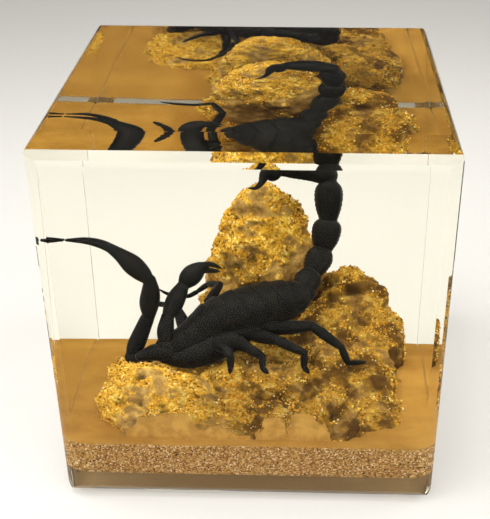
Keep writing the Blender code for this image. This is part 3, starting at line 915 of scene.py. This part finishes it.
NEAR_ARM = (
    ((-13.5, -3.2, 18.9, 1.3), (-14.4, -3.2, 19.9, 1.3)),
    ((-14.4, -3.2, 19.6, 1.0), (-14.4, -2.2, 22.2, 1.4), (-14.0, -1.1, 24.7, 1.1)),
    ((-14.1, -1.1, 24.5, 0.9), (-13.2, -0.1, 26.2, 1.5), (-12.3, 0.9, 28.0, 1.5), (-11.3, 1.6, 29.8, 1.0)),
    (
        (-11.4, 1.6, 29.6, 0.9),
        (-10.6, 2.2, 30.6, 1.6),
        (-9.6, 2.8, 31.6, 1.7),
        (-8.5, 3.0, 32.5, 1.2),
        (-7.7, 3.0, 32.8, 0.7),
    ),
    ((-8.3, 3.1, 33.0, 0.6), (-6.9, 3.1, 33.2, 0.45), (-5.8, 3.0, 32.9, 0.3), (-5.0, 2.9, 32.5, 0.1)),
    ((-8.3, 2.9, 32.1, 0.6), (-7.1, 2.8, 32.2, 0.45), (-5.9, 2.7, 32.1, 0.3), (-5.3, 2.7, 32.0, 0.1)),
)
# The leg bases and breast plate below the head shield
BREAST = (
    ((-18.6, -3.4, 17.9, 1.1), (-16.6, -3.8, 18.7, 1.6), (-14.4, -3.0, 18.6, 2.0)),
    ((-14.6, -3.0, 17.8, 1.6), (-11.6, -2.4, 17.6, 2.6), (-8.0, -1.4, 18.4, 3.0), (-4.6, -0.2, 19.8, 2.9)),
    ((-7.6, 0.0, 20.4, 2.6), (-3.4, 1.8, 20.8, 3.0), (1.4, 4.0, 22.0, 2.6), (4.4, 5.6, 23.6, 1.6)),
)
JAWS = (
    ((-14.5, -3.4, 19.1, 0.9), (-16.4, -4.4, 19.1, 0.9), (-17.5, -4.9, 18.6, 0.35)),
    ((-14.9, -2.2, 19.0, 0.9), (-16.8, -3.1, 19.1, 0.9), (-17.9, -3.7, 18.5, 0.35)),
)
NEAR_LEGS = (
    ((-6.6, -0.7, 20.0), (-4.1, -6.1, 20.6), (-3.4, -7.6, 19.9), (-3.4, -8.1, 17.8), (-3.5, -8.7, 17.1)),
    ((-3.4, 0.6, 20.0), (-0.5, -3.8, 19.9), (1.9, -6.7, 19.5), (1.9, -7.7, 17.7), (2.7, -8.3, 17.0)),
    ((-0.4, 1.7, 20.5), (4.1, -3.7, 21.6), (8.8, -6.7, 20.4), (8.8, -7.5, 17.9), (9.5, -7.8, 17.0)),
    ((1.5, 2.1, 21.3), (10.0, -4.6, 24.8), (14.9, -5.2, 21.0), (16.1, -5.2, 17.9), (18.9, -4.7, 17.9)),
)
FAR_LEGS = (
    ((-11.1, 2.6, 19.9), (-12.7, 5.9, 23.0), (-13.7, 6.8, 23.5), (-15.4, 8.8, 23.3), (-17.0, 10.3, 22.9)),
    ((-8.7, 3.2, 20.1), (-8.5, 7.1, 19.5), (-8.9, 9.6, 16.9), (-9.7, 10.5, 15.1), (-10.5, 11.4, 14.1)),
    ((-6.3, 3.9, 22.5), (-7.5, 5.5, 25.3), (-5.9, 12.2, 26.0), (-8.2, 17.2, 24.3), (-10.5, 18.2, 22.2)),
    ((0.2, 7.2, 21.6), (3.2, 10.7, 21.6), (4.0, 12.3, 18.3), (4.2, 12.5, 16.5), (3.2, 13.0, 15.4)),
)
LEG_RADII = (1.2, 0.85, 0.62, 0.48, 0.28)
RAISED_FOOT = (
    (-10.5, 18.2, 22.2, 0.45),
    (-12.2, 18.8, 21.2, 0.4),
    (-15.4, 19.0, 21.5, 0.34),
    (-17.4, 18.6, 22.8, 0.1),
)
# Where the back plates begin and end along the trunk, and the depth of their steps and of the fold beside
PLATE_EDGES = (0.36, 0.42, 0.49, 0.57, 0.66, 0.76, 0.87, 1.0)
PLATE_STEP = 0.34
FOLD_DEPTH = 0.28
# Keels round a tail segment and round an arm: how many, and how high
TAIL_KEELS, TAIL_KEEL_HEIGHT = 8, 0.16
ARM_KEELS, ARM_KEEL_HEIGHT = 6, 0.05
SHELL_BLACK, SHELL_BROWN = colour(20, 20, 19), colour(34, 30, 27)


def shell_finish():
    """Black chitin, a little browner in patches, with a dull shine that varies in fine spots."""
    finish = Finish("scorpion_shell")
    spots = finish.noise(0.8, 3.0, 0.6)
    patch = finish.noise(1.6, 3.0)
    base = finish.mix(patch.ramp(0.42, 0.8), SHELL_BLACK, SHELL_BROWN)
    finish.set(Base_Color=base, Roughness=0.36 + spots * 0.1, Specular_IOR_Level=0.04)
    return finish.material


def back_plates(t, angle):
    """Relief of overlapping plates: it rises as share^0.7 over each plate and drops at its rear edge."""
    rise = np.zeros_like(t)
    for first, last in zip(PLATE_EDGES, PLATE_EDGES[1:]):
        part = np.clip((t - first) / (last - first), 0, 1)
        rise = np.where((t > first) & (t <= last), part**0.7 * (part < 0.93), rise)
    upper = 0.5 + 0.5 * np.clip(np.sin(angle) * 3, -1, 1)
    return (rise - 0.5) * PLATE_STEP * (0.45 + 0.55 * upper)


def trunk_relief(t, angle):
    """Seven back plates behind a smooth head shield, with a fold along each side between back and belly."""
    fold = np.exp(-((np.sin(angle) + 0.15) / 0.13) ** 2) * (t > 0.34)
    return back_plates(t, angle) - FOLD_DEPTH * fold


def tail_relief(t, angle):
    """Keels along a tail segment, highest at its middle, set with rows of granules."""
    keel = np.clip(np.cos(TAIL_KEELS * angle), 0, 1) ** 3
    granules = 1 + 0.35 * np.sin(t * 75)
    return TAIL_KEEL_HEIGHT * keel * np.sin(np.pi * np.clip(t, 0, 1)) * granules


def arm_relief(t, angle):
    """Fine keels along an arm, highest at its middle."""
    return ARM_KEEL_HEIGHT * np.clip(np.cos(ARM_KEELS * angle), 0, 1) ** 3 * np.sin(np.pi * t)


def tail_part(start, end, belly):
    """One segment of the tail, widest past its middle."""
    first, last = np.array(start), np.array(end)
    sizes = (TAIL_NECK * 0.9, TAIL_NECK * 1.08, belly * 0.9, belly, belly * 0.9, TAIL_NECK * 0.9)
    knots = [(*(first + (last - first) * t), r) for t, r in zip(TAIL_STEPS, sizes)]
    return limb(knots, up=(-1, 0, 0.3), rows=50, around=48, relief=tail_relief, boxy=2.5)


def leg_part(start, end, first_radius, last_radius):
    """One part of a leg: a little thicker near its first joint, and tapered to its last."""
    a, b = np.array(start), np.array(end)
    knots = [
        (*a, first_radius * 0.85),
        (*(a + (b - a) * 0.35), max(first_radius * 0.98, last_radius)),
        (*(a + (b - a) * 0.75), (first_radius + last_radius) * 0.5),
        (*b, last_radius * 0.95),
    ]
    return limb(knots, up=(0.1, 0.2, 1.0), rows=16, around=16, tall=1.12)


def scorpion_skins():
    """Every closed skin of the scorpion."""
    skins = [limb(TRUNK, rows=170, around=60, relief=trunk_relief, caps=7, boxy=2.2)]
    for start, end, belly in zip(TAIL_JOINTS, TAIL_JOINTS[1:], TAIL_BELLY):
        skins.append(tail_part(start, end, belly))
    skins.append(limb(LAST_SEGMENT, rows=50, around=48, relief=tail_relief, boxy=2.4))
    skins.append(limb(BULB, rows=40, around=36))
    skins.append(limb(STING, rows=30, around=20))
    for arm in (FAR_ARM, NEAR_ARM):
        for chain in arm:
            skins.append(limb(chain, up=(0.2, -1, 0.1), rows=40, around=32, relief=arm_relief))
    for chain in BREAST:
        skins.append(limb(chain, rows=60, around=40, tall=0.9))
    for chain in JAWS:
        skins.append(limb(chain, rows=24, around=24))
    for joints in (*NEAR_LEGS, *FAR_LEGS):
        for (a, b), (ra, rb) in zip(zip(joints, joints[1:]), zip(LEG_RADII, LEG_RADII[1:])):
            skins.append(leg_part(a, b, ra, rb))
    skins.append(limb(RAISED_FOOT, rows=40, around=20))
    return skins


def make_scorpion():
    """The dried scorpion as one piece."""
    points, faces = join(scorpion_skins())
    made = write_mesh("scorpion_body", points, faces, shell_finish())
    return belong(made, "scorpion", "scorpion")


# ---------------------------------------------------------------- stage and light

FLOOR_REACH = 900.0
FLOOR_LEVEL = -0.02
FLOOR_GREY = colour(144, 142, 138)
FLOOR_GLOW, FLOOR_GLOW_STRENGTH = (1.0, 0.96, 0.88, 1.0), 0.32
WORLD_WHITE, WORLD_STRENGTH = (1.0, 0.995, 0.98, 1.0), 0.05
# Square lamps: name, place, where each is turned to, side, watts and spread in degrees
LAMPS = (
    ("lamp_left", (-230.0, 70.0, 190.0), (10.0, 60.0, 0.0), 160.0, 0.24, 110.0),
    ("lamp_right", (230.0, 90.0, 190.0), (-10.0, 60.0, 0.0), 160.0, 0.24, 110.0),
    ("lamp_over", (-60.0, -10.0, 330.0), (0.0, 10.0, 30.0), 120.0, 0.12, 60.0),
    ("lamp_front_left", (-200.0, -230.0, 300.0), (0.0, 0.0, 30.0), 400.0, 1.2, 120.0),
    ("lamp_front_right", (220.0, -200.0, 300.0), (0.0, 0.0, 30.0), 400.0, 1.05, 120.0),
)


def make_stage():
    """A pale floor that glows a little, a dim world, and lamps at the sides, above and in front."""
    finish = Finish("pale_floor")
    finish.set(
        Base_Color=FLOOR_GREY,
        Roughness=0.7,
        Emission_Color=FLOOR_GLOW,
        Emission_Strength=FLOOR_GLOW_STRENGTH,
    )
    ends = ((-1, -1), (1, -1), (1, 1), (-1, 1))
    corners = [(x * FLOOR_REACH, y * FLOOR_REACH, FLOOR_LEVEL) for x, y in ends]
    floor = write_mesh("floor", corners, [np.array([[0, 1, 2, 3]])], finish.material, smooth=False)
    world = bpy.data.worlds.new("studio")
    world.use_nodes = True
    back = world.node_tree.nodes["Background"]
    back.inputs["Color"].default_value = WORLD_WHITE
    back.inputs["Strength"].default_value = WORLD_STRENGTH
    bpy.context.scene.world = world
    for name, place, target, size, power, spread in LAMPS:
        data = bpy.data.lights.new(name, "AREA")
        data.size = size * MM
        data.energy = power
        data.spread = math.radians(spread)
        lamp = bpy.data.objects.new(name, data)
        lamp.location = Vector(place) * MM
        lamp.rotation_euler = (Vector(place) - Vector(target)).to_track_quat("Z", "Y").to_euler()
        bpy.context.scene.collection.objects.link(lamp)
    view = bpy.context.scene.view_settings
    view.view_transform = "Standard"
    view.look = "None"
    render = bpy.context.scene.cycles
    render.max_bounces = 32
    render.transmission_bounces = 24
    render.glossy_bounces = 12
    render.diffuse_bounces = 4


make_block()
make_sand()
stone = make_rock()
make_grains(stone)
make_scorpion()
make_stage()
